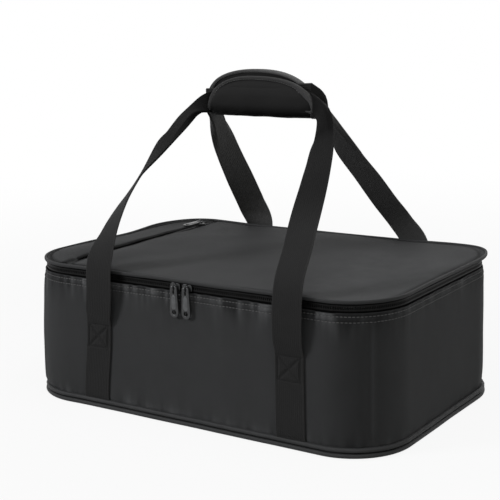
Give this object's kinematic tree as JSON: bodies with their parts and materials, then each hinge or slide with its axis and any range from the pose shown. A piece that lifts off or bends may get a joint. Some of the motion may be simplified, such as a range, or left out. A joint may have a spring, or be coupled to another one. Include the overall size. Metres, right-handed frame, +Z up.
{
  "type": "insulated casserole carrier",
  "caption": "Insulated casserole carrier: foam-lined fabric bag with a zipped hinged lid, a lid pocket and webbing handles joined by a padded grip.",
  "frame": {"origin": "middle of the base where the bag rests, with the handles upright", "axes": "+Z up, +Y to the back where the lid is hinged, +X to the right along the long front seen from the front"},
  "size_m": [0.4136, 0.2841, 0.3279],
  "materials": {
    "coated_fabric": "smooth coated woven cloth with a soft sheen",
    "webbing": "matt woven webbing with a fine rib",
    "foam": "closed cell foam sheet",
    "foil_lining": "silver film lining with a soft wrinkle",
    "board": "stiff plastic sheet",
    "zip_tape": "matt woven tape",
    "zip_coil": "moulded nylon coil",
    "zip_metal": "black enamelled die cast metal"
  },
  "bodies": {
    "bag": {"base_outer_panel": "coated_fabric", "base_board": "board", "base_foam": "foam", "base_lining": "foil_lining", "base_piping": "coated_fabric", "front_wall_panel": "coated_fabric", "front_wall_foam": "foam", "right_wall_panel": "coated_fabric", "right_wall_foam": "foam", "back_wall_panel": "coated_fabric", "back_wall_foam": "foam", "left_wall_panel": "coated_fabric", "left_wall_foam": "foam", "wall_lining": "foil_lining", "lower_zip_tape": "zip_tape", "lower_zip_coil": "zip_coil", "lid_hinge_strip": "coated_fabric", "front_left_strap_anchor": "webbing", "front_right_strap_anchor": "webbing", "back_left_strap_anchor": "webbing", "back_right_strap_anchor": "webbing"},
    "lid": {"lid_main_panel": "coated_fabric", "lid_pocket_strip": "coated_fabric", "lid_binding": "coated_fabric", "lid_foam": "foam", "lid_lining": "foil_lining", "lid_pocket_liner": "zip_tape", "upper_zip_tape": "zip_tape", "upper_zip_coil": "zip_coil", "pocket_zip_tape_left": "zip_tape", "pocket_zip_tape_right": "zip_tape", "pocket_zip_coil_left": "zip_coil", "pocket_zip_coil_right": "zip_coil"},
    "front_handle": {"front_handle_left_leg": "webbing", "front_handle_right_leg": "webbing", "front_handle_fold": "webbing"},
    "back_handle": {"back_handle_left_leg": "webbing", "back_handle_right_leg": "webbing", "back_handle_fold": "webbing", "grip_back_cover": "coated_fabric", "grip_back_foam": "foam", "grip_back_binding": "webbing", "grip_loop_patch": "zip_tape"},
    "grip_flap": {"grip_flap_cover": "coated_fabric", "grip_flap_foam": "foam", "grip_flap_binding": "webbing", "grip_hook_patch": "zip_tape"},
    "left_slider": {"zip_slider_left": "zip_metal"},
    "right_slider": {"zip_slider_right": "zip_metal"},
    "left_pull": {"zip_pull_left": "zip_metal"},
    "right_pull": {"zip_pull_right": "zip_metal"},
    "pocket_slider": {"pocket_slider": "zip_metal"},
    "pocket_pull": {"pocket_pull": "zip_metal"}
  },
  "joints": [
    {"name": "lid_hinge", "type": "hinge", "parent": "bag", "child": "lid", "pos_m": [0, 0.1325, 0.1399], "axis": [-1, 0, 0], "range_deg": [0, 110]},
    {"name": "front_handle_swing", "type": "hinge", "parent": "bag", "child": "front_handle", "pos_m": [0, -0.1331, 0.088], "axis": [1, 0, 0], "range_deg": [0, 132], "deforming": ["front_handle_fold"]},
    {"name": "back_handle_swing", "type": "hinge", "parent": "bag", "child": "back_handle", "pos_m": [0, 0.1331, 0.088], "axis": [-1, 0, 0], "range_deg": [0, 132]},
    {"name": "grip_flap_hinge", "type": "hinge", "parent": "back_handle", "child": "grip_flap", "pos_m": [0, -0.012, 0.2935], "axis": [1, 0, 0], "range_deg": [0, 150]},
    {"name": "left_slider_slide", "type": "slide", "parent": "bag", "child": "left_slider", "axis": [-1, 0, 0], "range_m": [0, 0.06]},
    {"name": "right_slider_slide", "type": "slide", "parent": "bag", "child": "right_slider", "axis": [1, 0, 0], "range_m": [0, 0.085]},
    {"name": "left_pull_hinge", "type": "hinge", "parent": "left_slider", "child": "left_pull", "pos_m": [-0.0088, -0.1344, 0.1359], "axis": [-1, 0, 0], "range_deg": [0, 150]},
    {"name": "right_pull_hinge", "type": "hinge", "parent": "right_slider", "child": "right_pull", "pos_m": [0.0048, -0.1344, 0.1359], "axis": [-1, 0, 0], "range_deg": [0, 150]},
    {"name": "pocket_slider_slide", "type": "slide", "parent": "lid", "child": "pocket_slider", "axis": [0, -1, 0], "range_m": [0, 0.195]},
    {"name": "pocket_pull_hinge", "type": "hinge", "parent": "pocket_slider", "child": "pocket_pull", "pos_m": [-0.146, 0.097, 0.14619], "axis": [-1, 0, 0], "range_deg": [0, 165]}
  ],
  "couplings": [
    {"joint": "front_handle_swing", "follows": "lid_hinge", "ratio": 1.2},
    {"joint": "back_handle_swing", "follows": "lid_hinge", "ratio": 1.2}
  ]
}
